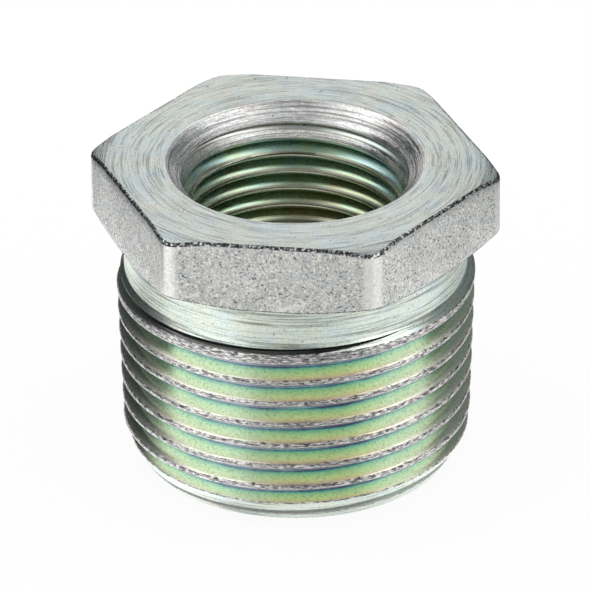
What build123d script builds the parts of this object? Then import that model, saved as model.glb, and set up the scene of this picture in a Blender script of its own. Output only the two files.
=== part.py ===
from build123d import *
import math
import os

# Hex bushing: a steel reducing bushing turned from hexagon bar, in one piece
# +Z runs up the axis, the origin is in the middle of the small end, and a flat of the hexagon faces -Y
# Sizes are in millimetres and angles in degrees; widths, steps, reliefs and overhangs are on the radius

# Overall
overall_length = 24.0
head_height = 5.5

# Hexagon head
hex_across_flats = 27.0
hex_corner_radius = 1.4
top_face_overhang = 0.75
top_corner_angle = 15.0
under_corner_angle = 21.0

# Neck between the head and the male thread
neck_relief = 0.13
neck_length = 2.9
neck_cone_angle = 42.0

# Male taper pipe thread, 3/4-14
male_threads_per_inch = 14
male_small_end_diameter = 26.0
male_crest_width = 0.36
male_start_angle = 141.9
male_end_angle = 325.0
male_pull_out_turns = 0.17
male_trace_turns = 0.25
male_trace_relief = 0.18
small_end_chamfer_width = 1.3
small_end_chamfer_angle = 30.0

# Female taper pipe thread, 3/8-18
female_threads_per_inch = 18
female_mouth_root_diameter = 17.5
female_start_angle = 112.6
female_full_turns = 6.5
female_pull_out_turns = 1.0
plain_bore_step = 1.25

# Mouth and far edge of the bore
countersink_width = 1.15
countersink_angle = 45.0
entry_step = 0.25
entry_cone_angle = 18.8
bore_edge_chamfer = 0.5

# Shared by both threads
thread_taper_on_diameter = 1 / 16
thread_flank_angle = 30.0
pull_out_clearance = 0.1
inch = 25.4
cutter_margin = 1.0

# Derived sizes
flank_slope = math.tan(math.radians(thread_flank_angle))
taper_slope = thread_taper_on_diameter / 2
taper_angle = math.degrees(math.atan(taper_slope))
male_pitch = inch / male_threads_per_inch
female_pitch = inch / female_threads_per_inch
male_depth = (male_pitch - male_crest_width) / 2 / flank_slope
head_base = overall_length - head_height
neck_base = head_base - neck_length
male_end_radius = male_small_end_diameter / 2
neck_radius = male_end_radius - neck_relief
small_end_radius = male_end_radius - small_end_chamfer_width
female_mouth_radius = female_mouth_root_diameter / 2
entry_radius = female_mouth_radius - entry_step
countersink_radius = entry_radius + countersink_width
bore_radius = female_mouth_radius - plain_bore_step
flat_radius = hex_across_flats / 2
top_face_radius = flat_radius + top_face_overhang


def turned(points):
    """Solid of revolution of a closed outline given as (radius, height) pairs."""
    outline = Polyline(*[(r, 0, z) for r, z in points], close=True)
    return revolve(make_face(outline), Axis.Z)


def helix_at(pitch, turns, radius, height, angle, cone):
    """Helix that starts at the given height, radius and angle about Z and climbs counterclockwise."""
    return Pos(0, 0, height) * Rot(0, 0, angle) * Helix(
        pitch=pitch, height=turns * pitch, radius=radius, cone_angle=cone)


def cut_groove(body, pitch, turns, radius, height, angle, cone, reach, side):
    """Cut a vee groove into the body, one turn at a time.

    The helix runs along the root; the groove opens outward (side 1) or inward (side -1) by reach."""
    mouth = reach * flank_slope
    outline = Polyline((0, 0), (side * reach, mouth), (side * reach, -mouth), close=True)
    done = 0
    while done < turns - 0.01:
        step = min(1, turns - done)
        rise = done * pitch
        foot_radius = radius + rise * math.tan(math.radians(cone))
        path = helix_at(pitch, step, foot_radius, height + rise, angle + 360 * done, cone)
        foot = path @ 0
        plane = Plane(origin=foot, x_dir=foot - Vector(0, 0, foot.Z), z_dir=path % 0)
        body = body - sweep(plane * make_face(outline), path=path, is_frenet=True)
        done += step
    return body


def male_crest_radius(height):
    """Crest radius of the male thread at a height above the small end."""
    return male_end_radius + height * taper_slope


# Turned shank: chamfered small end, tapered blank for the thread, cone down to the neck, neck
chamfer_slope = math.tan(math.radians(small_end_chamfer_angle))
chamfer_top = small_end_chamfer_width / (chamfer_slope - taper_slope)
cone_slope = math.tan(math.radians(neck_cone_angle))
thread_top = (neck_base * cone_slope - neck_relief) / (cone_slope + taper_slope)
shank = turned([
    (0, 0),
    (small_end_radius, 0),
    (male_crest_radius(chamfer_top), chamfer_top),
    (male_crest_radius(thread_top), thread_top),
    (neck_radius, neck_base),
    (neck_radius, head_base + head_height / 2),
    (0, head_base + head_height / 2),
])

# Hexagon head with rounded corners, turned off at the corners above and below
sharp_corner = hex_across_flats / math.sqrt(3)
prism = Pos(0, 0, head_base) * extrude(RegularPolygon(sharp_corner, 6, rotation=0), head_height)
prism = fillet(prism.edges().filter_by(Axis.Z), hex_corner_radius)
top_drop = math.tan(math.radians(top_corner_angle)) * (sharp_corner - top_face_radius)
under_rise = math.tan(math.radians(under_corner_angle)) * (sharp_corner - flat_radius)
corner_turning = turned([
    (0, head_base),
    (flat_radius, head_base),
    (sharp_corner, head_base + under_rise),
    (sharp_corner, overall_length - top_drop),
    (top_face_radius, overall_length),
    (0, overall_length),
])
head = prism & corner_turning

# Bore with its countersunk mouth, the entry cone, the reamed taper of the thread and a broken far edge
entry_slope = math.tan(math.radians(entry_cone_angle))
countersink_depth = countersink_width / math.tan(math.radians(countersink_angle))
thread_depth = (female_full_turns + female_pull_out_turns) * female_pitch
mouth_crest_radius = bore_radius + thread_depth * taper_slope
entry_gap = entry_radius - mouth_crest_radius + countersink_depth * entry_slope
entry_depth = entry_gap / (entry_slope - taper_slope)
bore = turned([
    (0, -cutter_margin),
    (bore_radius + bore_edge_chamfer + cutter_margin, -cutter_margin),
    (bore_radius, bore_edge_chamfer),
    (bore_radius, overall_length - thread_depth),
    (mouth_crest_radius - entry_depth * taper_slope, overall_length - entry_depth),
    (entry_radius, overall_length - countersink_depth),
    (countersink_radius, overall_length),
    (countersink_radius, overall_length + cutter_margin),
    (0, overall_length + cutter_margin),
])

# Male groove: up the taper from below the small end, pulled out fast, then a shallow trace round the cone
male_reach = male_depth + male_crest_width / 4 / flank_slope
male_end_turn = (male_end_angle - male_start_angle) / 360
male_turns = math.floor((neck_base + male_pitch / 2) / male_pitch - male_end_turn) + male_end_turn
male_low_angle = male_start_angle - 360
male_low_radius = male_crest_radius(-male_pitch) - male_depth
male_full_turns = 1 + male_turns - male_pull_out_turns - male_trace_turns
pull_height = male_pitch * (male_full_turns - 1)
pull_radius = male_crest_radius(pull_height) - male_depth
pull_angle = male_low_angle + 360 * male_full_turns
pull_rise = male_pull_out_turns * male_pitch
trace_radius = neck_radius + male_trace_relief
pull_cone = math.degrees(math.atan((trace_radius - pull_radius) / pull_rise))
body = shank + head - bore
body = cut_groove(
    body, male_pitch, male_full_turns, male_low_radius, -male_pitch, male_low_angle, taper_angle,
    male_reach, 1)
body = cut_groove(
    body, male_pitch, male_pull_out_turns, pull_radius, pull_height, pull_angle, pull_cone,
    male_reach, 1)
body = cut_groove(
    body, male_pitch, male_trace_turns, trace_radius, pull_height + pull_rise,
    pull_angle + 360 * male_pull_out_turns, 0, male_reach, 1)

# Female groove: from the mouth down the taper, then pulled out into the plain bore
female_full_depth = female_full_turns * female_pitch
female_foot = overall_length - female_full_depth
female_foot_radius = female_mouth_radius - female_full_depth * taper_slope
female_foot_angle = female_start_angle - 360 * female_full_turns
female_reach = 0.96 * female_pitch / 2 / flank_slope
female_end_radius = bore_radius - pull_out_clearance
female_pull_height = female_pull_out_turns * female_pitch
female_cone = math.degrees(math.atan((female_foot_radius - female_end_radius) / female_pull_height))
body = cut_groove(
    body, female_pitch, female_pull_out_turns, female_end_radius, female_foot - female_pull_height,
    female_foot_angle - 360 * female_pull_out_turns, female_cone, female_reach, -1)
body = cut_groove(
    body, female_pitch, female_full_turns, female_foot_radius, female_foot, female_foot_angle, taper_angle,
    female_reach, -1)

os.makedirs("parts", exist_ok=True)
export_step(body.solid(), "parts/hex_bushing.step")
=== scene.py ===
import math

import bpy
import numpy as np
from mathutils import Matrix, Vector


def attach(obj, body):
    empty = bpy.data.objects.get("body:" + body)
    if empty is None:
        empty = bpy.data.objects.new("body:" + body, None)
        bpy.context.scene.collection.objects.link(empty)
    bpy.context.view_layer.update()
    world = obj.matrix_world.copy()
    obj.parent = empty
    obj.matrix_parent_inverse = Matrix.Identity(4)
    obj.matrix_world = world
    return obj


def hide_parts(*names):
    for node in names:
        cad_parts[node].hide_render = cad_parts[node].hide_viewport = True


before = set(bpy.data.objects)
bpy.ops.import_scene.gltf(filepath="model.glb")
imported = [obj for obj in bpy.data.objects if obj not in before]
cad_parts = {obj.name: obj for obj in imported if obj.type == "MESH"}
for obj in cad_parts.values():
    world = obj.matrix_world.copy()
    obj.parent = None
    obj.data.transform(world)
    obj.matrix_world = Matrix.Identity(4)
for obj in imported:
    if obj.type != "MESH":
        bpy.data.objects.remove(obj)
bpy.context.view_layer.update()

# Hex bushing in zinc-plated steel: one mesh with both threads, worked out in mm and stored in metres
MM = 0.001

# Sizes of the part, as in the CAD source. Slopes of the shank and the bore are radius over height, and
# those of the head's corners and the thread's flanks are height over radius. Angles are in degrees
LENGTH = 24.0
HEAD_HEIGHT = 5.5
ACROSS_FLATS = 27.0
CORNER_RADIUS = 1.4
TOP_FLAT_RADIUS = 14.25
TOP_CORNER_SLOPE = math.tan(math.radians(15))
UNDER_CORNER_SLOPE = math.tan(math.radians(21))
NECK_RADIUS = 12.87
NECK_LENGTH = 2.9
NECK_CONE_SLOPE = math.tan(math.radians(42))
TAPER = 1 / 32
FLANK_SLOPE = math.tan(math.radians(30))
INCH = 25.4

MALE_PITCH = INCH / 14
MALE_END_RADIUS = 13.0
MALE_CREST = 0.36
MALE_START_ANGLE = 141.9
MALE_END_ANGLE = 325.0
MALE_TURNS = 8 + (MALE_END_ANGLE - MALE_START_ANGLE) / 360
MALE_PULL_OUT = 0.17
MALE_TRACE = 0.25
TRACE_RELIEF = 0.18
TRACE_RADIUS = NECK_RADIUS + TRACE_RELIEF
SMALL_END_RADIUS = 11.7
CHAMFER_SLOPE = math.tan(math.radians(30))

FEMALE_PITCH = INCH / 18
FEMALE_MOUTH_RADIUS = 8.75
FEMALE_START_ANGLE = 112.6
FEMALE_TURNS = 6.5
FEMALE_PULL_OUT = 1.0
PULL_OUT_CLEARANCE = 0.1
BORE_RADIUS = 7.5
COUNTERSINK_RADIUS = 9.65
ENTRY_RADIUS = 8.5
ENTRY_SLOPE = math.tan(math.radians(18.8))
BORE_CHAMFER = 0.5

# Small roundings, which only this model has; the root's is a share of half of the groove's width
HEX_BREAK = 0.22
UNDER_BREAK = 0.12
RIM_BREAK = 0.10
SMALL_END_BREAK = 0.07
NECK_FILLET = 0.1
ENTRY_BREAK = 0.03
MALE_CREST_BREAK = 0.07
FEMALE_CREST_BREAK = 0.15
ROOT_ROUNDING = 0.09

# Levels worked out from those sizes. In a thread zone the rows follow the grooves, and the next row is past
# a small gap. Between the thread's top and the crest's top the torn crest goes on over the cone
HEAD_BASE = LENGTH - HEAD_HEIGHT
NECK_BASE = HEAD_BASE - NECK_LENGTH
FLAT_RADIUS = ACROSS_FLATS / 2
CHAMFER_TOP = (MALE_END_RADIUS - SMALL_END_RADIUS) / (CHAMFER_SLOPE - TAPER)
THREAD_TOP = (NECK_BASE * NECK_CONE_SLOPE + NECK_RADIUS - MALE_END_RADIUS) / (NECK_CONE_SLOPE + TAPER)
CREST_TOP = THREAD_TOP + 0.06
MALE_DEPTH = (MALE_PITCH - MALE_CREST) / 2 / FLANK_SLOPE
MALE_ZONE_BASE = 0.045
MALE_ZONE_TOP = NECK_BASE + 0.15
COUNTERSINK_BASE = LENGTH - (COUNTERSINK_RADIUS - ENTRY_RADIUS)
FEMALE_DEEP = LENGTH - (FEMALE_TURNS + FEMALE_PULL_OUT) * FEMALE_PITCH
FEMALE_ZONE_BASE = FEMALE_DEEP - 0.2
ROW_GAP = 0.01
MOUTH_CREST_RADIUS = BORE_RADIUS + (LENGTH - FEMALE_DEEP) * TAPER
ENTRY_GAP = ENTRY_RADIUS - MOUTH_CREST_RADIUS + (LENGTH - COUNTERSINK_BASE) * ENTRY_SLOPE
ENTRY_BASE = LENGTH - ENTRY_GAP / (ENTRY_SLOPE - TAPER)

# Columns round the axis: closer together over the hexagon's rounded corners
SIXTH_TURN = math.pi / 3
CORNER_CENTRE = (FLAT_RADIUS - CORNER_RADIUS) / math.cos(SIXTH_TURN / 2)
CORNER_HALF_ANGLE = math.atan2(
    CORNER_RADIUS / 2, CORNER_CENTRE + CORNER_RADIUS * math.cos(SIXTH_TURN / 2))
CORNER_POINTS = 9
FLAT_POINTS = 49
corner_steps = np.linspace(-CORNER_HALF_ANGLE, CORNER_HALF_ANGLE, CORNER_POINTS)
flat_steps = np.linspace(CORNER_HALF_ANGLE, SIXTH_TURN - CORNER_HALF_ANGLE, FLAT_POINTS)[1:-1]
corner = CORNER_POINTS // 2
sector = np.concatenate([corner_steps[corner:], flat_steps, SIXTH_TURN + corner_steps[:corner]])
ANGLES = np.concatenate([sector + k * math.pi / 3 for k in range(6)] + [[2 * math.pi]])
TURN = ANGLES / (2 * math.pi)

# Angles of the rows of a quarter round, whose last row is the next strip's first
QUARTER_ROUND = (0, math.pi / 6, math.pi / 3)

# Root radius that stands for no groove at all
NO_MALE_GROOVE = 99.0
NO_FEMALE_GROOVE = 0.0

# Steps in 1 mm within which points of the mesh are one, and the angle from which an edge is sharp
MERGE_PER_MM = 1e4
SHARP_ANGLE = math.radians(40)

FINISHES = ["faced", "drawn", "edge", "neck", "male", "countersunk", "female", "bored"]


def hexagon_radius(angles):
    """Distance from the axis to the hexagon: its flats are straight lines, its corners arcs between them."""
    from_corner = (angles + SIXTH_TURN / 2) % SIXTH_TURN - SIXTH_TURN / 2
    from_flat = SIXTH_TURN / 2 - np.abs(from_corner)
    inside = np.maximum(CORNER_RADIUS ** 2 - (CORNER_CENTRE * np.sin(from_corner)) ** 2, 0)
    arc = CORNER_CENTRE * np.cos(from_corner) + np.sqrt(inside)
    return np.where(np.abs(from_corner) < CORNER_HALF_ANGLE, arc, FLAT_RADIUS / np.cos(from_flat))


def shank_radius(z):
    """Turned outline of the shank: the least of the chamfer, the taper and the cone down to the neck."""
    chamfer = SMALL_END_RADIUS + CHAMFER_SLOPE * z
    taper = MALE_END_RADIUS + TAPER * z
    cone = NECK_RADIUS + NECK_CONE_SLOPE * (NECK_BASE - z)
    return np.minimum(np.minimum(chamfer, taper), np.maximum(cone, NECK_RADIUS))


def bored_radius(z):
    """Bored outline: the greatest of the plain hole, the reamed taper and the entry cone."""
    taper = BORE_RADIUS + TAPER * (z - FEMALE_DEEP)
    entry = ENTRY_RADIUS + ENTRY_SLOPE * (z - COUNTERSINK_BASE)
    return np.maximum(np.maximum(taper, entry), BORE_RADIUS)


def male_foot(turns):
    """Root of the male groove: up the taper, pulled out fast, then a trace of one radius, then none."""
    pull = MALE_TURNS - MALE_TRACE - MALE_PULL_OUT
    taper = MALE_END_RADIUS + TAPER * MALE_PITCH * np.minimum(turns, pull) - MALE_DEPTH
    share = np.clip((turns - pull) / MALE_PULL_OUT, 0, 1)
    return np.where(turns > MALE_TURNS, NO_MALE_GROOVE, taper + (TRACE_RADIUS - taper) * share)


def female_foot(turns):
    """Root of the female groove, with turns below nought from the mouth down: down the taper, then drawn
    in to just inside the plain bore, then none."""
    taper = FEMALE_MOUTH_RADIUS + np.maximum(turns, -FEMALE_TURNS) * FEMALE_PITCH * TAPER
    share = np.maximum((-turns - FEMALE_TURNS) / FEMALE_PULL_OUT, 0)
    drawn_in = taper + (BORE_RADIUS - PULL_OUT_CLEARANCE - taper) * share
    return np.where(share > 1, NO_FEMALE_GROOVE, drawn_in)


class Thread:
    """A vee groove that climbs round the axis in a turned blank, at each column of the grid.

    At turn t the groove's middle is at height base + pitch * t, and its root is at foot(t) from the axis.
    Its sides leave the root at the flank angle, so at a distance d above or below the middle the groove's
    radius is foot(t) plus or minus d / tan(30 degrees). Side is 1 for a groove cut inwards and -1 for one
    cut outwards. Full half is half of the groove's width where it has its full depth."""

    # Rounds that settle where a flank meets the blank, and the widest and the least half width of a groove
    SETTLING_ROUNDS = 14
    WIDEST_SHARE = 0.49
    LEAST_HALF = 0.02

    # The crest's broken edge is at most this share of the half width, and this share of it is in the groove
    EDGE_LIMIT = 0.4
    EDGE_INSIDE = 0.6

    # The flank's lowest row, in halves of the rounded root, and the least height that it is worked out for
    FLANK_BASE = 2.2
    LEAST_FLANK = 0.01

    # Rise of a place with no groove near it, and the rise from which a place is on the crest
    PLAIN_RISE = 1.5
    CREST_RISE = 0.999

    def __init__(self, pitch, base, start_angle, foot, blank, side, crest_break, full_half):
        self.pitch = pitch
        self.base = base
        self.phase = TURN - start_angle / 360
        self.foot = foot
        self.blank = blank
        self.side = side
        self.crest_break = crest_break
        self.full_half = full_half

    def groove(self, turn):
        """Middle height, root radius, half width of the rounded root, and both half widths at the blank."""
        turns = turn + self.phase
        middle = self.base + self.pitch * turns
        foot = self.foot(turns)
        halves = []
        for way in (-1, 1):
            half = np.full(np.shape(turns), self.pitch / 4)
            for _ in range(self.SETTLING_ROUNDS):
                depth = np.maximum(self.side * (self.blank(middle + way * half) - foot), 0)
                half = FLANK_SLOPE * depth
            halves.append(np.minimum(half, self.WIDEST_SHARE * self.pitch))
        return middle, foot, ROOT_ROUNDING * np.minimum(halves[0], halves[1]), halves

    def rows(self, turns, ends, creases):
        """Heights of the rows: on each side of every groove the middle of the crest, its broken edge, the
        flank's foot and the root, with the creases of the blank put in, sorted in each column and held
        within the ends."""
        heights = [np.full(len(TURN), level) for level in creases]
        for turn in turns:
            middle, _, root, halves = self.groove(turn)
            for way, half in zip((-1, 1), halves):
                fade = np.minimum(self.crest_break, self.EDGE_LIMIT * half)
                inner = half - self.EDGE_INSIDE * fade
                outer = half + np.minimum(fade, self.pitch / 2 - half)
                for offset in (outer, inner, inner - fade, self.FLANK_BASE * root, root):
                    heights.append(middle + way * offset)
            heights.append(middle + self.pitch / 2)
        return np.sort(np.clip(np.array(heights), *ends), axis=0)

    def surface(self, z):
        """Radius at each height, and three marks for the materials.

        The radius is the blank's or the groove's, whichever cuts deeper. Rise is nought in the root, 1 at
        the crest's edge and 2 at the middle of the crest. Lean is the sine of the place across the
        groove, above nought on its lower flank, which looks upwards. Depth is the groove's half width as
        a share of the full one."""
        turn = np.round((z - self.base) / self.pitch - self.phase)
        middle, foot, root, halves = self.groove(turn)
        off = z - middle
        away = np.abs(off)
        vee = foot + self.side * np.maximum(away, root) / FLANK_SLOPE
        blank = self.blank(z)
        radius = self.side * np.minimum(self.side * blank, self.side * vee)
        half = np.where(off < 0, halves[0], halves[1])
        inside = (away - root) / np.maximum(half - root, self.LEAST_FLANK)
        outside = 1 + (away - half) / (self.pitch / 2 - half)
        rise = np.clip(np.where(away < half, inside, outside), 0, 2)
        rise = np.where(half < self.LEAST_HALF, np.maximum(rise, self.PLAIN_RISE), rise)
        lean = -np.sin(2 * math.pi * off / self.pitch)
        return radius, rise, lean, np.clip(half / self.full_half, 0, 1)


class Grid:
    """Rows of points round the axis, with three thread marks for each point and a finish for each cell."""

    def __init__(self):
        self.rows = []
        self.finishes = []

    def add(self, z, r, finish, marks=(0.0, 0.0, 0.0)):
        """One row: its heights, radii and marks, and the finish of the strip that follows it."""
        ones = np.ones(len(ANGLES))
        self.rows.append([z * ones, r * ones] + [mark * ones for mark in marks])
        if isinstance(finish, str):
            finish = FINISHES.index(finish)
        self.finishes.append(finish * np.ones(len(ANGLES) - 1, dtype=int))

    def run(self, outline, finish, steps):
        """Rows along the straight stretches of a (radius, height) outline, with this many steps in each."""
        for (r0, z0), (r1, z1), n in zip(outline[:-1], outline[1:], steps):
            for t in np.linspace(0, 1, n, endpoint=False):
                self.add(z0 + (z1 - z0) * t, r0 + (r1 - r0) * t, finish)

    def thread(self, thread, heights, finish, plain_zones, way):
        """Rows of a thread, upwards for way 1 and downwards for -1.

        Cells with no groove in them that lie between two levels take that zone's finish."""
        radius, rise, lean, depth = thread.surface(heights)
        middle = (heights[:-1, :-1] + heights[1:, :-1]) / 2
        crest = rise[:, :-1] > thread.CREST_RISE
        plain = crest[:-1] & crest[1:]
        cells = np.full(middle.shape, FINISHES.index(finish))
        for zone, low, high in plain_zones:
            cells[plain & (middle > low) & (middle < high)] = FINISHES.index(zone)
        cells = np.concatenate([cells, cells[-1:]])
        order = range(len(heights)) if way > 0 else range(len(heights) - 1, -1, -1)
        for i in order:
            strip = cells[i] if way > 0 else cells[max(i - 1, 0)]
            self.add(heights[i], radius[i], strip, (rise[i], lean[i], depth[i]))


MALE_THREAD = Thread(
    MALE_PITCH, 0.0, MALE_START_ANGLE, male_foot, shank_radius, 1, MALE_CREST_BREAK,
    full_half=(MALE_PITCH - MALE_CREST) / 2)
FEMALE_THREAD = Thread(
    FEMALE_PITCH, LENGTH, FEMALE_START_ANGLE, female_foot, bored_radius, -1, FEMALE_CREST_BREAK,
    full_half=0.43 * FEMALE_PITCH)


def under_face(radius):
    """Height of the head's underside: flat out to the hexagon's flats, then rising under its corners."""
    return HEAD_BASE + UNDER_CORNER_SLOPE * np.maximum(radius - FLAT_RADIUS, 0)


def top_face(radius):
    """Height of the top face: flat out to a circle, then falling over the hexagon's corners."""
    return LENGTH - TOP_CORNER_SLOPE * np.maximum(radius - TOP_FLAT_RADIUS, 0)


def add_shank(g):
    """Rows of the small end, the male thread and the neck: a turned outline, with the groove cut in."""
    g.run([
        (BORE_RADIUS + BORE_CHAMFER, 0),
        (SMALL_END_RADIUS - SMALL_END_BREAK, 0),
        (SMALL_END_RADIUS + CHAMFER_SLOPE * MALE_ZONE_BASE, MALE_ZONE_BASE)], "faced", [8, 1])
    heights = MALE_THREAD.rows(
        range(-1, 10), (MALE_ZONE_BASE, MALE_ZONE_TOP), (CHAMFER_TOP, THREAD_TOP, CREST_TOP, NECK_BASE))
    # Plain cells of the chamfer take the neck's brighter finish, partly for its level lines and partly as
    # painted light where the chamfer reflects the dim table beneath it
    g.thread(MALE_THREAD, heights, "male", [("neck", 0, CHAMFER_TOP), ("neck", CREST_TOP, LENGTH)], 1)
    g.run([
        (NECK_RADIUS, MALE_ZONE_TOP + ROW_GAP),
        (NECK_RADIUS, HEAD_BASE - NECK_FILLET),
        (NECK_RADIUS + 0.3 * NECK_FILLET, HEAD_BASE - 0.3 * NECK_FILLET),
        (NECK_RADIUS + NECK_FILLET, HEAD_BASE)], "neck", [8, 1, 1])


def add_head(g):
    """Rows of the head: the underside from a circle to the hexagon, the sides, the top back to a circle.

    The edges above and below are quarter rounds, and the creases of the turned-off corners are rows too."""
    hexagon = hexagon_radius(ANGLES)
    inside = hexagon - UNDER_BREAK
    crease = np.minimum(inside, FLAT_RADIUS)
    for t in (0, 0.35, 0.7):
        radius = NECK_RADIUS + NECK_FILLET + (crease - NECK_RADIUS - NECK_FILLET) * t
        g.add(under_face(radius), radius, "faced")
    for t in (0, 0.33, 0.67):
        radius = crease + (inside - crease) * t
        g.add(under_face(radius), radius, "faced")
    for a in QUARTER_ROUND:
        height = under_face(inside) + UNDER_BREAK * (1 - math.cos(a))
        g.add(height, inside + UNDER_BREAK * math.sin(a), "edge")

    low = under_face(inside) + UNDER_BREAK
    high = top_face(hexagon) - HEX_BREAK
    for t in np.linspace(0, 1, 6, endpoint=False):
        g.add(low + (high - low) * t, hexagon, "drawn")
    for a in QUARTER_ROUND:
        height = high + (top_face(hexagon - HEX_BREAK) - high) * math.sin(a)
        g.add(height, hexagon - HEX_BREAK * (1 - math.cos(a)), "edge")

    edge = hexagon - HEX_BREAK
    crease = np.minimum(edge, TOP_FLAT_RADIUS)
    for t in (0, 0.33, 0.67):
        radius = edge + (crease - edge) * t
        g.add(top_face(radius), radius, "faced")
    rim = COUNTERSINK_RADIUS + RIM_BREAK
    for t in np.linspace(0, 1, 8, endpoint=False):
        g.add(LENGTH, crease + (rim - crease) * t, "faced")


def add_bore(g):
    """Rows of the countersink, the female thread from the mouth down, the plain bore and its far edge."""
    g.run([
        (COUNTERSINK_RADIUS + RIM_BREAK, LENGTH),
        (COUNTERSINK_RADIUS + RIM_BREAK / 5, LENGTH - 0.3 * RIM_BREAK),
        (COUNTERSINK_RADIUS - RIM_BREAK, LENGTH - RIM_BREAK),
        (ENTRY_RADIUS + ENTRY_BREAK, COUNTERSINK_BASE + ENTRY_BREAK),
        (ENTRY_RADIUS, COUNTERSINK_BASE)], "countersunk", [1, 1, 8, 1])
    heights = FEMALE_THREAD.rows(range(-9, 1), (FEMALE_ZONE_BASE, COUNTERSINK_BASE), (ENTRY_BASE,))
    zones = [("bored", 0, FEMALE_DEEP), ("countersunk", ENTRY_BASE, LENGTH)]
    g.thread(FEMALE_THREAD, heights, "female", zones, -1)
    g.run([
        (BORE_RADIUS, FEMALE_ZONE_BASE - ROW_GAP),
        (BORE_RADIUS, BORE_CHAMFER),
        (BORE_RADIUS + BORE_CHAMFER, 0)], "bored", [10, 1])
    g.add(0.0, BORE_RADIUS + BORE_CHAMFER, "bored")


def bushing_grid():
    """The whole surface as one closed run of rows: small end, shank, head, bore, back to the small end."""
    g = Grid()
    add_shank(g)
    add_head(g)
    add_bore(g)
    return g


def closed_mesh(name, g):
    """Mesh of a grid: each cell is two triangles, and cells that are empty are dropped.

    Points that round to the same 0.1 micrometre are one, which also closes the seam, and edges past the
    sharp angle stay sharp."""
    z, r, rise, lean, depth = np.array(g.rows).transpose(1, 0, 2)
    cosine, sine = np.cos(ANGLES), np.sin(ANGLES)
    cosine[-1], sine[-1] = cosine[0], sine[0]
    points = np.stack([r * cosine, r * sine, z], axis=2).reshape(-1, 3)
    keys = np.round(points * MERGE_PER_MM).astype(np.int64)
    _, first, same = np.unique(keys, axis=0, return_index=True, return_inverse=True)
    same = same.reshape(z.shape)
    a, b = same[:-1, :-1], same[:-1, 1:]
    d, c = same[1:, :-1], same[1:, 1:]
    finish = np.repeat(np.array(g.finishes[:-1]).ravel(), 2)
    corners = np.stack([a, b, c, a, c, d], axis=2).reshape(-1, 3)
    ones, twos, threes = corners.T
    keep = (ones != twos) & (twos != threes) & (threes != ones)
    corners, finish = corners[keep], finish[keep]
    mesh = bpy.data.meshes.new(name)
    mesh.vertices.add(len(first))
    mesh.vertices.foreach_set("co", (points[first] * MM).ravel())
    mesh.loops.add(corners.size)
    mesh.loops.foreach_set("vertex_index", corners.ravel())
    mesh.polygons.add(len(corners))
    mesh.polygons.foreach_set("loop_start", np.arange(0, corners.size, 3))
    mesh.polygons.foreach_set("material_index", finish)
    mesh.update(calc_edges=True)
    for mark, values in (("rise", rise), ("lean", lean), ("depth", depth)):
        attribute = mesh.attributes.new(mark, "FLOAT", "POINT")
        attribute.data.foreach_set("value", values.ravel()[first])
    mesh.validate()
    mesh.shade_smooth()
    mesh.set_sharp_from_angle(angle=SHARP_ANGLE)
    return mesh


# Sockets of a Mix node of colours, whose names its other kinds share
MIX_A, MIX_B, MIXED = 6, 7, 2

# Grains or flecks of each pattern in 1 mm. The plating's real grain is about 0.01 mm, and a picture dot
# is 0.075 mm wide, so every grain finer than two dots is drawn at 0.15 to 0.2 mm to show at all
PLATING_GRAINS = 6.0
PLATING_SPECKS = 3.6
FILM_CLOUDS = 0.4
SKIN_GRAINS = 6.5
SKIN_PITS = 5.6
SKIN_RUBS = 0.55
SKIN_CLOUDS = 0.3
EDGE_FLECKS = 4.6
FLANK_GRAINS = 5.5
BORE_CLOUDS = 0.3

# Skin of the drawn bar, from its dark hollows to the grains that face the light
DRAWN_SKIN = {0.3: "#A8AAAB", 0.45: "#CDD0D0", 0.58: "#DCDEDB", 0.7: "#ECECE6"}
CREAM_GLINT = "#FFFBEC"
RUBBED_AND_HIGHLIGHT_SILVER = "#F8F8F4"
TORN_EDGE = {0.42: "#343538", 0.52: "#6A6C6F", 0.58: "#C9C9C8", 0.64: "#FAFAF8"}

# Films on the male flank, from the root at 0 to the crest's edge at 1, and the side that has the full one.
# The pale film is a lighter, bluer copy of the full one: painted light for the brighter sides
# The darker violet stops at the root are partly painted shade of the deep root
FULL_FILM = {
    0.0: "#77758F", 0.04: "#7F9CAB", 0.08: "#90BDBB", 0.15: "#A9D8C8", 0.24: "#C2E0C2", 0.38: "#CFE7C2",
    0.55: "#DBEAC4", 0.7: "#E3E8C4", 0.83: "#EAE2C4", 0.91: "#E6D5BC", 1.0: "#DCCAC6"}
SIDE_LIT_FILM = {
    0.0: "#AEB4C4", 0.06: "#B4D0D0", 0.13: "#C2DED3", 0.24: "#D4ECD9", 0.45: "#E1F1DA",
    0.7: "#E7F1DA", 0.85: "#EBEEDA", 0.93: "#ECE7DE", 1.0: "#E4DEDA"}
UNBRIGHTENED_FILM_SIDE = (0.277, -0.961, 0.0)
BARE_FLANK = "#C9CBC8"
UPPER_CREST = {0.36: "#424244", 0.45: "#858486", 0.54: "#BAB8B6", 0.65: "#F8F5F0"}
LOWER_CREST = {0.34: "#7C7C7E", 0.44: "#C2C4C2", 0.54: "#DADCDA", 0.64: "#FFFFFC"}
CREST_LIP_SHADE = "#504C66"

# Film in the bore from its olive depth to its teal mouth, a bare flank there and a worn crest
BORE_FILM = {0.3: "#B4AE92", 0.45: "#B6C4A2", 0.58: "#B6D2B8", 0.7: "#ACCCC8"}
BARE_BORE_FLANK = "#D2D0CF"
WORN_BORE_CREST = "#A8AA98"


def linear(hex_colour):
    """An sRGB hex colour as linear RGBA."""
    parts = [int(hex_colour[i:i + 2], 16) / 255 for i in (1, 3, 5)]
    return tuple(c / 12.92 if c <= 0.04045 else ((c + 0.055) / 1.055) ** 2.4 for c in parts) + (1.0,)


def per_mm(count):
    """Scale of a pattern on Object coordinates, which are in metres, that has this many grains in 1 mm."""
    return count / MM


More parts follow.
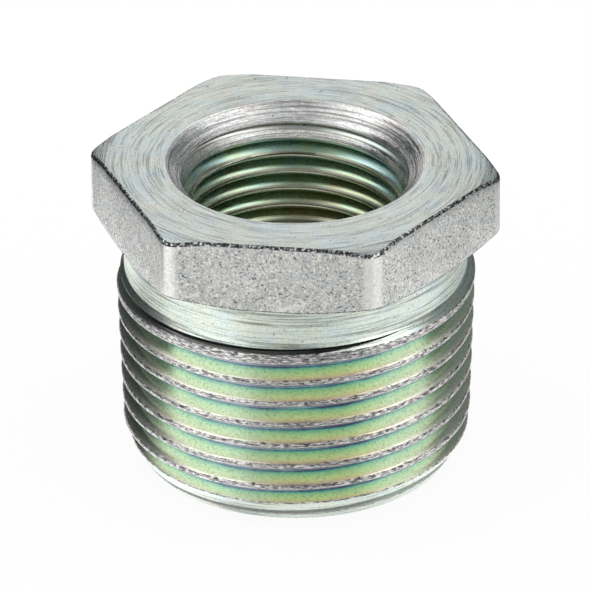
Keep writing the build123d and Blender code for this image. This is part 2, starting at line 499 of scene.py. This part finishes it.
def add_node(tree, kind, inputs=None, stops=None, **settings):
    """A node with its settings and links.

    Inputs is {socket: value or (node, output)}, where sockets and outputs go by name, or by number where
    several share a name. Stops is a colour ramp's {place: hex colour}."""
    node = tree.nodes.new(kind)
    for key, value in settings.items():
        setattr(node, key, value)
    for key, value in (inputs or {}).items():
        if isinstance(value, tuple) and isinstance(value[0], bpy.types.Node):
            tree.links.new(value[0].outputs[value[1]], node.inputs[key])
        else:
            node.inputs[key].default_value = value
    if stops:
        places = sorted(stops)
        elements = node.color_ramp.elements
        while len(elements) < len(places):
            elements.new(0.5)
        for element, place in zip(elements, places):
            element.position = place
            element.color = linear(stops[place])
    return node


def new_metal(name):
    """A bare metal's material, its node tree, its Principled shader and a node with Object coordinates."""
    material = bpy.data.materials.new(name)
    material.use_nodes = True
    tree = material.node_tree
    shader = tree.nodes["Principled BSDF"]
    shader.inputs["Metallic"].default_value = 1.0
    return material, tree, shader, add_node(tree, "ShaderNodeTexCoord")


def finish_metal(tree, shader, colour, roughness, height, strength, distance):
    """Links colour and roughness to the shader, and height through a bump; distance is in mm."""
    bump = add_node(tree, "ShaderNodeBump", {
        "Height": height, "Strength": strength, "Distance": distance * MM})
    tree.links.new(colour[0].outputs[colour[1]], shader.inputs["Base Color"])
    tree.links.new(roughness[0].outputs[roughness[1]], shader.inputs["Roughness"])
    tree.links.new(bump.outputs[0], shader.inputs["Normal"])


def lathe_marks(tree, place, across, around, lines, detail):
    """Noise drawn out round the axis, as a lathe tool leaves it.

    It is read at the unit vector out from the axis times around, lifted by the radius and the height,
    which count as much as the two parts of across say, times the lines per mm. A streak is about as long
    as the radius divided by around. Real tool marks are about 0.05 mm apart, and are drawn 0.1 to 0.2 mm
    apart to show."""
    part = add_node(tree, "ShaderNodeSeparateXYZ", {"Vector": (place, "Object")})
    flat = add_node(tree, "ShaderNodeCombineXYZ", {"X": (part, "X"), "Y": (part, "Y")})
    radius = add_node(tree, "ShaderNodeVectorMath", {0: (flat, 0)}, operation="LENGTH")
    outward = add_node(tree, "ShaderNodeVectorMath", {0: (flat, 0)}, operation="NORMALIZE")
    circle = add_node(tree, "ShaderNodeVectorMath", {0: (outward, 0), "Scale": around}, operation="SCALE")
    out = add_node(tree, "ShaderNodeMath", {
        0: (radius, "Value"), 1: across[0] * per_mm(lines)}, operation="MULTIPLY")
    up = add_node(tree, "ShaderNodeMath", {
        0: (part, "Z"), 1: across[1] * per_mm(lines), 2: (out, 0)}, operation="MULTIPLY_ADD")
    lift = add_node(tree, "ShaderNodeCombineXYZ", {"Z": (up, 0)})
    point = add_node(tree, "ShaderNodeVectorMath", {0: (circle, 0), 1: (lift, 0)}, operation="ADD")
    return add_node(tree, "ShaderNodeTexNoise", {
        "Vector": (point, 0), "Scale": 1.0, "Detail": detail, "Roughness": 0.7})


def turned_steel(name, across, tints, dark, roughness, depth, around, lines):
    """Steel turned on a lathe, zinc plated and passivated.

    It gives the eye fine rings, broken along their length, each a little duller or brighter than the
    next, with a fine grain and a few dark specks of plating, under a film whose tint drifts between its
    three tints. Dark is how dark the dullest ring is, and depth is the rings' depth in mm."""
    material, tree, shader, place = new_metal(name)
    fine = lathe_marks(tree, place, across, around, lines, detail=4.0)
    broad = lathe_marks(tree, place, across, around * 0.3, lines * 0.4, detail=2.0)
    drift = add_node(tree, "ShaderNodeTexNoise", {
        "Vector": (place, "Object"), "Scale": per_mm(FILM_CLOUDS), "Detail": 5.0, "Roughness": 0.65})
    tint = add_node(tree, "ShaderNodeValToRGB", {"Fac": (drift, 0)}, {
        0.38: tints[0], 0.5: tints[1], 0.62: tints[2]})
    rings = add_node(tree, "ShaderNodeMath", {
        0: (broad, 0), 1: 0.5, 2: (fine, 0)}, operation="MULTIPLY_ADD")
    shade = add_node(tree, "ShaderNodeMapRange", {
        "Value": (rings, 0), "From Min": 0.6, "From Max": 0.76, "To Min": dark, "To Max": 1.0})
    grain = add_node(tree, "ShaderNodeTexNoise", {
        "Vector": (place, "Object"), "Scale": per_mm(PLATING_GRAINS), "Detail": 2.0})
    grained = add_node(tree, "ShaderNodeMapRange", {
        "Value": (grain, 0), "From Min": 0.3, "From Max": 0.6, "To Min": 0.84, "To Max": 1.04})
    specks = add_node(tree, "ShaderNodeTexNoise", {
        "Vector": (place, "Object"), "Scale": per_mm(PLATING_SPECKS), "Detail": 2.0})
    spots = add_node(tree, "ShaderNodeMapRange", {
        "Value": (specks, 0), "From Min": 0.26, "From Max": 0.31, "To Min": 0.3, "To Max": 1.0})
    spotted = add_node(tree, "ShaderNodeMath", {0: (shade, 0), 1: (spots, 0)}, operation="MULTIPLY")
    light = add_node(tree, "ShaderNodeMath", {0: (spotted, 0), 1: (grained, 0)}, operation="MULTIPLY")
    colour = add_node(tree, "ShaderNodeVectorMath", {0: (tint, 0), "Scale": (light, 0)}, operation="SCALE")
    gloss = add_node(tree, "ShaderNodeMapRange", {
        "Value": (fine, 0), "From Min": 0.3, "From Max": 0.7,
        "To Min": roughness + 0.08, "To Max": roughness - 0.06})
    finish_metal(tree, shader, (colour, 0), (gloss, 0), (rings, 0), 0.5, depth)
    return material


def drawn_steel():
    """Cold drawn hexagon bar, zinc plated as it came.

    It gives the eye a dull skin with a grain of about 0.15 mm, painted cream glints where a grain faces the
    light, small dark pits between them, and bright places where it was rubbed in handling. The rounded
    corners, which are told by their radius, are also mixed towards silver as a painted highlight."""
    material, tree, shader, place = new_metal("zinc_plated_drawn_steel")
    grain = add_node(tree, "ShaderNodeTexNoise", {
        "Vector": (place, "Object"), "Scale": per_mm(SKIN_GRAINS), "Detail": 3.0, "Roughness": 0.6})
    skin = add_node(tree, "ShaderNodeValToRGB", {"Fac": (grain, 0)}, DRAWN_SKIN)
    cloud = add_node(tree, "ShaderNodeTexNoise", {
        "Vector": (place, "Object"), "Scale": per_mm(SKIN_CLOUDS), "Detail": 4.0})
    shade = add_node(tree, "ShaderNodeMapRange", {
        "Value": (cloud, 0), "From Min": 0.35, "From Max": 0.65, "To Min": 0.86, "To Max": 1.04})
    pits = add_node(tree, "ShaderNodeTexNoise", {
        "Vector": (place, "Object"), "Scale": per_mm(SKIN_PITS), "Detail": 2.0})
    pitted = add_node(tree, "ShaderNodeMapRange", {
        "Value": (pits, 0), "From Min": 0.31, "From Max": 0.39, "To Min": 0.2, "To Max": 1.0})
    light = add_node(tree, "ShaderNodeMath", {0: (shade, 0), 1: (pitted, 0)}, operation="MULTIPLY")
    shaded = add_node(tree, "ShaderNodeVectorMath", {0: (skin, 0), "Scale": (light, 0)}, operation="SCALE")
    glints = add_node(tree, "ShaderNodeMapRange", {
        "Value": (pits, 0), "From Min": 0.585, "From Max": 0.655, "To Min": 0.0, "To Max": 1.0})
    specked = add_node(tree, "ShaderNodeMix", {
        0: (glints, 0), MIX_A: (shaded, 0), MIX_B: linear(CREAM_GLINT)}, data_type="RGBA")
    rubs = add_node(tree, "ShaderNodeTexNoise", {
        "Vector": (place, "Object"), "Scale": per_mm(SKIN_RUBS), "Detail": 7.0, "Roughness": 0.62,
        "Distortion": 1.2})
    rubbed = add_node(tree, "ShaderNodeMapRange", {
        "Value": (rubs, 0), "From Min": 0.62, "From Max": 0.68, "To Min": 0.0, "To Max": 0.8})
    flat = add_node(tree, "ShaderNodeVectorMath", {
        0: (place, "Object"), 1: (1.0, 1.0, 0.0)}, operation="MULTIPLY")
    radius = add_node(tree, "ShaderNodeVectorMath", {0: (flat, 0)}, operation="LENGTH")
    # Painted highlight: the rounded corners, told by their radius, go up to 0.6 of the way to silver
    corner_highlight = add_node(tree, "ShaderNodeMapRange", {
        "Value": (radius, "Value"), "From Min": 15.1 * MM, "From Max": 15.24 * MM,
        "To Min": 0.0, "To Max": 0.6})
    rubs_and_corner_highlight = add_node(tree, "ShaderNodeMath", {0: (rubbed, 0), 1: (corner_highlight, 0)}, operation="MAXIMUM")
    colour = add_node(tree, "ShaderNodeMix", {
        0: (rubs_and_corner_highlight, 0), MIX_A: (specked, MIXED), MIX_B: linear(RUBBED_AND_HIGHLIGHT_SILVER)}, data_type="RGBA")
    height = add_node(tree, "ShaderNodeMath", {0: (grain, 0), 1: (pitted, 0)}, operation="ADD")
    gloss = add_node(tree, "ShaderNodeMapRange", {
        "Value": (grain, 0), "From Min": 0.3, "From Max": 0.7, "To Min": 0.4, "To Max": 0.26})
    finish_metal(tree, shader, (colour, MIXED), (gloss, 0), (height, 0), 0.6, 0.025)
    return material


def worn_edge():
    """Edge of the hexagon, where the turning tool tore the drawn skin, zinc plated.

    It gives the eye dark and bright flecks side by side, about 0.2 mm wide."""
    material, tree, shader, place = new_metal("zinc_plated_torn_edge")
    flecks = add_node(tree, "ShaderNodeTexNoise", {
        "Vector": (place, "Object"), "Scale": per_mm(EDGE_FLECKS), "Detail": 3.0, "Roughness": 0.65})
    colour = add_node(tree, "ShaderNodeValToRGB", {"Fac": (flecks, 0)}, TORN_EDGE)
    gloss = add_node(tree, "ShaderNodeMapRange", {
        "Value": (flecks, 0), "From Min": 0.3, "From Max": 0.7, "To Min": 0.5, "To Max": 0.25})
    finish_metal(tree, shader, (colour, 0), (gloss, 0), (flecks, 0), 0.9, 0.08)
    return material


def male_thread_steel():
    """Thread cut on a lathe, zinc plated and passivated.

    It gives the eye smooth flanks under a film that thickens towards the crest, so that its colour runs from
    violet in the root through blue-green and green to straw; the darker violet at the root is partly painted
    shade. Away from one side of the part the film is painted paler and bluer and the crest brighter, which
    is painted light. A narrow groove near the neck is painted dark as shade. The crest is torn, dark and
    flecked above and silver below, with a violet line of painted shade along its lower edge. Its flecks are
    drawn about 0.1 mm high and 0.4 mm long. The real ones are finer."""
    material, tree, shader, place = new_metal("zinc_plated_cut_thread")
    rise = add_node(tree, "ShaderNodeAttribute", attribute_name="rise")
    lean = add_node(tree, "ShaderNodeAttribute", attribute_name="lean")
    depth = add_node(tree, "ShaderNodeAttribute", attribute_name="depth")
    part = add_node(tree, "ShaderNodeSeparateXYZ", {"Vector": (place, "Object")})
    marks = lathe_marks(tree, place, across=(0.4, 1.0), around=12.0, lines=5.0, detail=4.0)
    flecks = lathe_marks(tree, place, across=(0.6, 1.0), around=30.0, lines=9.0, detail=3.0)
    drift = lathe_marks(tree, place, across=(0.0, 0.3), around=2.4, lines=0.5, detail=4.0)

    # Film from the root to the crest, which drifts up and down a little, full on one side only and painted
    # paler and bluer round the rest as painted light
    slide = add_node(tree, "ShaderNodeMath", {
        0: (drift, 0), 1: 0.36, 2: (rise, "Fac")}, operation="MULTIPLY_ADD")
    film_place = add_node(tree, "ShaderNodeMath", {0: (slide, 0), 1: 0.18}, operation="SUBTRACT")
    full = add_node(tree, "ShaderNodeValToRGB", {"Fac": (film_place, 0)}, FULL_FILM)
    side_lit = add_node(tree, "ShaderNodeValToRGB", {"Fac": (film_place, 0)}, SIDE_LIT_FILM)
    flat = add_node(tree, "ShaderNodeCombineXYZ", {"X": (part, "X"), "Y": (part, "Y")})
    outward = add_node(tree, "ShaderNodeVectorMath", {0: (flat, 0)}, operation="NORMALIZE")
    sideways = add_node(tree, "ShaderNodeVectorMath", {
        0: (outward, 0), 1: UNBRIGHTENED_FILM_SIDE}, operation="DOT_PRODUCT")
    side_light = add_node(tree, "ShaderNodeMapRange", {
        "Value": (sideways, "Value"), "From Min": 0.997, "From Max": 0.89, "To Min": 0.0, "To Max": 1.0},
        interpolation_type="SMOOTHSTEP")
    film = add_node(tree, "ShaderNodeMix", {
        0: (side_light, 0), MIX_A: (full, 0), MIX_B: (side_lit, 0)}, data_type="RGBA")

    # Grain in the film, and painted shade in a narrow groove: dark near the neck and less so in the chamfer
    grain = add_node(tree, "ShaderNodeTexNoise", {
        "Vector": (place, "Object"), "Scale": per_mm(FLANK_GRAINS), "Detail": 3.0})
    grained = add_node(tree, "ShaderNodeMapRange", {
        "Value": (grain, 0), "From Min": 0.32, "From Max": 0.5, "To Min": 0.78, "To Max": 1.02})
    narrow_shade_level = add_node(tree, "ShaderNodeMapRange", {
        "Value": (part, "Z"), "From Min": 3 * MM, "From Max": 6 * MM, "To Min": 0.8, "To Max": 0.06})
    narrow_groove_shade = add_node(tree, "ShaderNodeMapRange", {
        "Value": (depth, "Fac"), "From Min": 0.25, "From Max": 0.7, "To Min": (narrow_shade_level, 0), "To Max": 1.0})
    light = add_node(tree, "ShaderNodeMath", {0: (narrow_groove_shade, 0), 1: (grained, 0)}, operation="MULTIPLY")
    filmed = add_node(tree, "ShaderNodeMapRange", {
        "Value": (depth, "Fac"), "From Min": 0.35, "From Max": 0.6, "To Min": 0.0, "To Max": 1.0})
    tinted = add_node(tree, "ShaderNodeMix", {
        0: (filmed, 0), MIX_A: linear(BARE_FLANK), MIX_B: (film, MIXED)}, data_type="RGBA")
    flank = add_node(tree, "ShaderNodeVectorMath", {
        0: (tinted, MIXED), "Scale": (light, 0)}, operation="SCALE")

    # Torn crest: dark flecks above, silver below, and a violet line of painted shade at its lower edge
    upper = add_node(tree, "ShaderNodeValToRGB", {"Fac": (flecks, 0)}, UPPER_CREST)
    lower = add_node(tree, "ShaderNodeValToRGB", {"Fac": (flecks, 0)}, LOWER_CREST)
    above = add_node(tree, "ShaderNodeMapRange", {
        "Value": (lean, "Fac"), "From Min": -0.35, "From Max": -0.1, "To Min": 0.0, "To Max": 1.0})
    silver = add_node(tree, "ShaderNodeMix", {
        0: (above, 0), MIX_A: (lower, 0), MIX_B: (upper, 0)}, data_type="RGBA")
    lip_shade_end = add_node(tree, "ShaderNodeMapRange", {"Value": (above, 0), "To Min": 1.06, "To Max": 0.0})
    lip_shade_fade = add_node(tree, "ShaderNodeMath", {0: (lip_shade_end, 0), 1: 0.25}, operation="ADD")
    past_lip_shade = add_node(tree, "ShaderNodeMapRange", {
        "Value": (rise, "Fac"), "From Min": (lip_shade_end, 0), "From Max": (lip_shade_fade, 0),
        "To Min": 0.0, "To Max": 1.0})
    crest = add_node(tree, "ShaderNodeMix", {
        0: (past_lip_shade, 0), MIX_A: linear(CREST_LIP_SHADE), MIX_B: (silver, MIXED)}, data_type="RGBA")
    # Painted highlight: the crest is made up to 1.3 times brighter round the sides
    side_crest_highlight = add_node(tree, "ShaderNodeMapRange", {"Value": (side_light, 0), "To Min": 0.92, "To Max": 1.3})
    crest_with_highlight = add_node(tree, "ShaderNodeVectorMath", {
        0: (crest, MIXED), "Scale": (side_crest_highlight, 0)}, operation="SCALE")
    ragged = add_node(tree, "ShaderNodeMath", {
        0: (marks, 0), 1: 0.6, 2: (rise, "Fac")}, operation="MULTIPLY_ADD")
    torn = add_node(tree, "ShaderNodeMapRange", {
        "Value": (ragged, 0), "From Min": 1.22, "From Max": 1.29, "To Min": 0.0, "To Max": 1.0})
    colour = add_node(tree, "ShaderNodeMix", {
        0: (torn, 0), MIX_A: (flank, 0), MIX_B: (crest_with_highlight, 0)}, data_type="RGBA")
    gloss = add_node(tree, "ShaderNodeMapRange", {
        "Value": (rise, "Fac"), "From Min": 0.6, "From Max": 1.0, "To Min": 0.17, "To Max": 0.36})
    rough_crest = add_node(tree, "ShaderNodeMath", {0: (flecks, 0), 1: (torn, 0)}, operation="MULTIPLY")
    height = add_node(tree, "ShaderNodeMath", {
        0: (marks, 0), 1: 0.12, 2: (rough_crest, 0)}, operation="MULTIPLY_ADD")
    finish_metal(tree, shader, (colour, MIXED), (gloss, 0), (height, 0), 0.7, 0.05)
    return material


def female_thread_steel():
    """Thread tapped in the bore, zinc plated: the plating is thin and uneven there.

    It gives the eye a dark film, teal near the mouth and olive deeper down, painted darker towards each root
    as shade, under rounded crests that are worn and catch the light."""
    material, tree, shader, place = new_metal("zinc_plated_tapped_thread")
    rise = add_node(tree, "ShaderNodeAttribute", attribute_name="rise")
    part = add_node(tree, "ShaderNodeSeparateXYZ", {"Vector": (place, "Object")})
    patch = add_node(tree, "ShaderNodeTexNoise", {
        "Vector": (place, "Object"), "Scale": per_mm(BORE_CLOUDS), "Detail": 5.0, "Roughness": 0.6})
    marks = lathe_marks(tree, place, across=(0.4, 1.0), around=5.0, lines=5.0, detail=3.0)
    up = add_node(tree, "ShaderNodeMapRange", {
        "Value": (part, "Z"), "From Min": 12 * MM, "From Max": 22 * MM, "To Min": -0.12, "To Max": 0.14})
    where = add_node(tree, "ShaderNodeMath", {0: (patch, 0), 1: (up, 0)}, operation="ADD")
    film = add_node(tree, "ShaderNodeValToRGB", {"Fac": (where, 0)}, BORE_FILM)
    # Painted shade: the film darkens towards each root, to 0.75 of its colour
    light = add_node(tree, "ShaderNodeMapRange", {
        "Value": (rise, "Fac"), "From Min": 0.0, "From Max": 0.9, "To Min": 0.75, "To Max": 1.0})
    shaded = add_node(tree, "ShaderNodeVectorMath", {0: (film, 0), "Scale": (light, 0)}, operation="SCALE")
    depth = add_node(tree, "ShaderNodeAttribute", attribute_name="depth")
    deep = add_node(tree, "ShaderNodeMapRange", {
        "Value": (depth, "Fac"), "From Min": 0.3, "From Max": 0.6, "To Min": 0.0, "To Max": 1.0})
    flank = add_node(tree, "ShaderNodeMix", {
        0: (deep, 0), MIX_A: linear(BARE_BORE_FLANK), MIX_B: (shaded, 0)}, data_type="RGBA")
    ragged = add_node(tree, "ShaderNodeMath", {
        0: (marks, 0), 1: 0.5, 2: (rise, "Fac")}, operation="MULTIPLY_ADD")
    worn = add_node(tree, "ShaderNodeMapRange", {
        "Value": (ragged, 0), "From Min": 1.1, "From Max": 1.35, "To Min": 0.0, "To Max": 1.0})
    colour = add_node(tree, "ShaderNodeMix", {
        0: (worn, 0), MIX_A: (flank, MIXED), MIX_B: linear(WORN_BORE_CREST)}, data_type="RGBA")
    gloss = add_node(tree, "ShaderNodeMapRange", {
        "Value": (marks, 0), "From Min": 0.3, "From Max": 0.7, "To Min": 0.34, "To Max": 0.2})
    finish_metal(tree, shader, (colour, MIXED), (gloss, 0), (marks, 0), 0.4, 0.03)
    return material


bushing_mesh = closed_mesh("zinc_plated_hex_bushing", bushing_grid())
bushing = bpy.data.objects.new("zinc_plated_hex_bushing", bushing_mesh)
bpy.context.scene.collection.objects.link(bushing)

# Finishes by their place on the part. The top face and the ends are faced flat, with close short streaks.
# The neck is brighter, with longer ones, the countersink is the brightest, with deep long rings, and the
# plain bore is a dark olive
materials = {
    "faced": turned_steel(
        "zinc_plated_faced_steel", across=(1.0, 0.6), tints=("#CED9DB", "#D3DBD6", "#D8DBD2"), dark=0.5,
        roughness=0.3, depth=0.06, around=4.0, lines=10.0),
    "drawn": drawn_steel(),
    "edge": worn_edge(),
    "neck": turned_steel(
        "zinc_plated_neck_steel", across=(0.0, 1.0), tints=("#E2F1EE", "#E6F1E6", "#EBF1E1"), dark=0.4,
        roughness=0.28, depth=0.04, around=2.5, lines=8.0),
    "male": male_thread_steel(),
    "countersunk": turned_steel(
        "zinc_plated_countersunk_steel", across=(0.7, 0.7), tints=("#EBEEF0", "#F0F0EE", "#F0EDEC"),
        dark=0.4, roughness=0.16, depth=0.2, around=0.9, lines=5.0),
    "female": female_thread_steel(),
    "bored": turned_steel(
        "zinc_plated_bored_steel", across=(0.3, 1.0), tints=("#8E9A80", "#8A8F76", "#93896C"), dark=0.7,
        roughness=0.28, depth=0.03, around=3.0, lines=6.0),
}
for name in FINISHES:
    bushing.data.materials.append(materials[name])
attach(bushing, "root")
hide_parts("hex_bushing")

# Camera, found from the photograph's outline and thread lines; its aim and distance are in millimetres
CAMERA_AZIMUTH = math.radians(8.127)
CAMERA_ELEVATION = math.radians(29.148)
CAMERA_ROLL = math.radians(0.429)
CAMERA_DISTANCE = 632.3
SENSOR_WIDTH = 36
PHOTO_WIDTH = 590
FOCAL_DOTS = 8416
AIM_RIGHT = -0.065
AIM_HEIGHT = 12.548

right = Vector((math.cos(CAMERA_AZIMUTH), math.sin(CAMERA_AZIMUTH), 0))
front = Vector((math.sin(CAMERA_AZIMUTH), -math.cos(CAMERA_AZIMUTH), 0))
back = front * math.cos(CAMERA_ELEVATION) + Vector((0, 0, math.sin(CAMERA_ELEVATION)))
up = back.cross(right)
side = right * math.cos(CAMERA_ROLL) - up * math.sin(CAMERA_ROLL)
over = right * math.sin(CAMERA_ROLL) + up * math.cos(CAMERA_ROLL)
aim = right * AIM_RIGHT + Vector((0, 0, AIM_HEIGHT))
camera_data = bpy.data.cameras.new("camera")
camera_data.sensor_width = SENSOR_WIDTH
camera_data.lens = FOCAL_DOTS * SENSOR_WIDTH / PHOTO_WIDTH
camera_data.clip_start = 0.01
camera_data.clip_end = 20
camera = bpy.data.objects.new("camera", camera_data)
turn = Matrix((side, over, back)).transposed()
camera.matrix_world = Matrix.Translation((aim + back * CAMERA_DISTANCE) * MM) @ turn.to_4x4()
bpy.context.scene.collection.objects.link(camera)
bpy.context.scene.camera = camera
bpy.context.scene.view_settings.view_transform = "Standard"

# Painted light on the table, seen only in reflections, where 1 is white: how bright it is in front of the
# part, how much more each side's painted pool adds, by its angle round to the left, and how much painted
# bounce light it has close to the bright metal
FLOOR_FRONT = 0.75
FLOOR_SIDES = ((62, 0.42), (-64, 0.26), (142, 0.42))
FLOOR_CLOSE = 0.25

# Share of the table's white that glows for the camera and reflections; the rest keeps the part's shadow
FLOOR_GLOW = 0.9
FILL = 0.95


def studio_place(round_left, elevation, distance):
    """Point of the studio, in metres, at an elevation and an angle round to the left of the camera."""
    a, e = math.radians(round_left), math.radians(elevation)
    level = front * math.cos(a) - right * math.sin(a)
    return (level * math.cos(e) + Vector((0, 0, math.sin(e)))) * distance


def card(name, place, width, height, colour, strength):
    """A flat studio card that faces the part, seen only in reflections; sizes in metres."""
    facing = (-place).to_track_quat("Z", "Y").to_matrix().to_4x4()
    stand = Matrix.Translation(place) @ facing
    corners = [(-width / 2, -height / 2, 0), (width / 2, -height / 2, 0), (width / 2, height / 2, 0),
               (-width / 2, height / 2, 0)]
    mesh = bpy.data.meshes.new(name)
    mesh.from_pydata([stand @ Vector(c) for c in corners], [], [(0, 1, 2, 3)])
    material = bpy.data.materials.new(name)
    material.use_nodes = True
    tree = material.node_tree
    tree.nodes.remove(tree.nodes["Principled BSDF"])
    glow = add_node(tree, "ShaderNodeEmission", {"Color": linear(colour), "Strength": strength})
    tree.links.new(glow.outputs[0], tree.nodes["Material Output"].inputs[0])
    mesh.materials.append(material)
    made = bpy.data.objects.new(name, mesh)
    made.visible_camera = False
    made.visible_shadow = False
    made.visible_diffuse = False
    bpy.context.scene.collection.objects.link(made)


def light_path_sum(tree):
    """One where a camera, glossy or transmission ray looks, and nought elsewhere."""
    path = add_node(tree, "ShaderNodeLightPath")
    seen = add_node(tree, "ShaderNodeMath", {
        0: (path, "Is Camera Ray"), 1: (path, "Is Glossy Ray")}, operation="ADD")
    return add_node(tree, "ShaderNodeMath", {
        0: (seen, 0), 1: (path, "Is Transmission Ray")}, operation="ADD", use_clamp=True)


def white_world():
    """White to the camera and to reflections, and a soft plain fill for the rest of the light."""
    world = bpy.data.worlds.new("white_surroundings")
    bpy.context.scene.world = world
    world.use_nodes = True
    tree = world.node_tree
    seen = light_path_sum(tree)
    strength = add_node(tree, "ShaderNodeMapRange", {"Value": (seen, 0), "To Min": FILL, "To Max": 1.0})
    background = tree.nodes["Background"]
    background.inputs["Color"].default_value = (1, 1, 1, 1)
    tree.links.new(strength.outputs[0], background.inputs["Strength"])


def floor():
    """Plain white table top, white to the camera, with a share left to the light so that the shadow stays.

    In reflections it has painted light: it is dimmer in front of the part than at the sides, where painted
    pools stand for the soft boxes' light. Each bright side is a smooth step of the cosine of the angle from
    its middle. Close round the part it is a little brighter again, with painted bounce light for what the
    metal throws on it."""
    mesh = bpy.data.meshes.new("floor")
    mesh.from_pydata([(-3, -3, 0), (3, -3, 0), (3, 3, 0), (-3, 3, 0)], [], [(0, 1, 2, 3)])
    material = bpy.data.materials.new("white_table")
    material.use_nodes = True
    tree = material.node_tree
    tree.nodes.remove(tree.nodes["Principled BSDF"])
    seen = light_path_sum(tree)
    place = add_node(tree, "ShaderNodeTexCoord")
    outward = add_node(tree, "ShaderNodeVectorMath", {0: (place, "Object")}, operation="NORMALIZE")
    level = FLOOR_FRONT
    for round_left, extra in FLOOR_SIDES:
        middle = studio_place(round_left, 0, 1)
        cosine = add_node(tree, "ShaderNodeVectorMath", {
            0: (outward, 0), 1: middle}, operation="DOT_PRODUCT")
        step = add_node(tree, "ShaderNodeMapRange", {
            "Value": (cosine, "Value"), "From Min": 0.75, "From Max": 0.95, "To Min": 0.0, "To Max": extra},
            interpolation_type="SMOOTHSTEP")
        level = (add_node(tree, "ShaderNodeMath", {0: (step, 0), 1: level}, operation="ADD"), 0)
    out = add_node(tree, "ShaderNodeVectorMath", {0: (place, "Object")}, operation="LENGTH")
    close = add_node(tree, "ShaderNodeMapRange", {
        "Value": (out, "Value"), "From Min": 14 * MM, "From Max": 18 * MM,
        "To Min": FLOOR_CLOSE, "To Max": 0.0})
    level = (add_node(tree, "ShaderNodeMath", {0: (close, 0), 1: level}, operation="ADD"), 0)
    path = add_node(tree, "ShaderNodeLightPath")
    shown = add_node(tree, "ShaderNodeMix", {"Factor": (path, "Is Camera Ray"), "A": level, "B": 1.0})
    share = add_node(tree, "ShaderNodeMath", {0: (seen, 0), 1: FLOOR_GLOW}, operation="MULTIPLY")
    paint = add_node(tree, "ShaderNodeBsdfDiffuse", {"Color": linear("#F8F8F8")})
    glow = add_node(tree, "ShaderNodeEmission", {"Color": (1, 1, 1, 1), "Strength": (shown, 0)})
    mix = add_node(tree, "ShaderNodeMixShader", {0: (share, 0), 1: (paint, 0), 2: (glow, 0)})
    tree.links.new(mix.outputs[0], tree.nodes["Material Output"].inputs[0])
    mesh.materials.append(material)
    made = bpy.data.objects.new("floor", mesh)
    made.location = (0, 0, -0.1 * MM)
    bpy.context.scene.collection.objects.link(made)


def soft_box(name, place, width, height, radiance):
    """A soft lamp aimed at the part; its power is its radiance times pi times its area."""
    data = bpy.data.lights.new(name, "AREA")
    data.shape = "RECTANGLE"
    data.size = width
    data.size_y = height
    data.energy = radiance * math.pi * width * height
    made = bpy.data.objects.new(name, data)
    made.location = place
    made.rotation_euler = place.to_track_quat("Z", "Y").to_euler()
    made.visible_camera = False
    bpy.context.scene.collection.objects.link(made)


white_world()
floor()
soft_box("left_soft_box", studio_place(92, 56, 0.5), 0.4, 0.2, radiance=1.05)
soft_box("right_soft_box", studio_place(-80, 52, 0.5), 0.36, 0.2, radiance=0.98)

# Dark cards that give the bright metal its dark zones: overhead, in front, and close on both far sides
card("ceiling_dark", studio_place(0, 88, 0.6), 0.34, 0.9, colour="#FFFFFF", strength=0.28)
card("front_dark", studio_place(0, 38, 0.6), 0.5, 0.24, colour="#FFFFFF", strength=0.3)
card("left_back_dark", studio_place(121, 0, 0.06), 0.088, 0.144, colour="#E8F6FF", strength=0.05)
card("left_side_dark", studio_place(98, 0, 0.047), 0.03, 0.024, colour="#E8F6FF", strength=0.12)
card("right_back_dark", studio_place(-122, 0, 0.06), 0.094, 0.15, colour="#F4FFFF", strength=0.17)
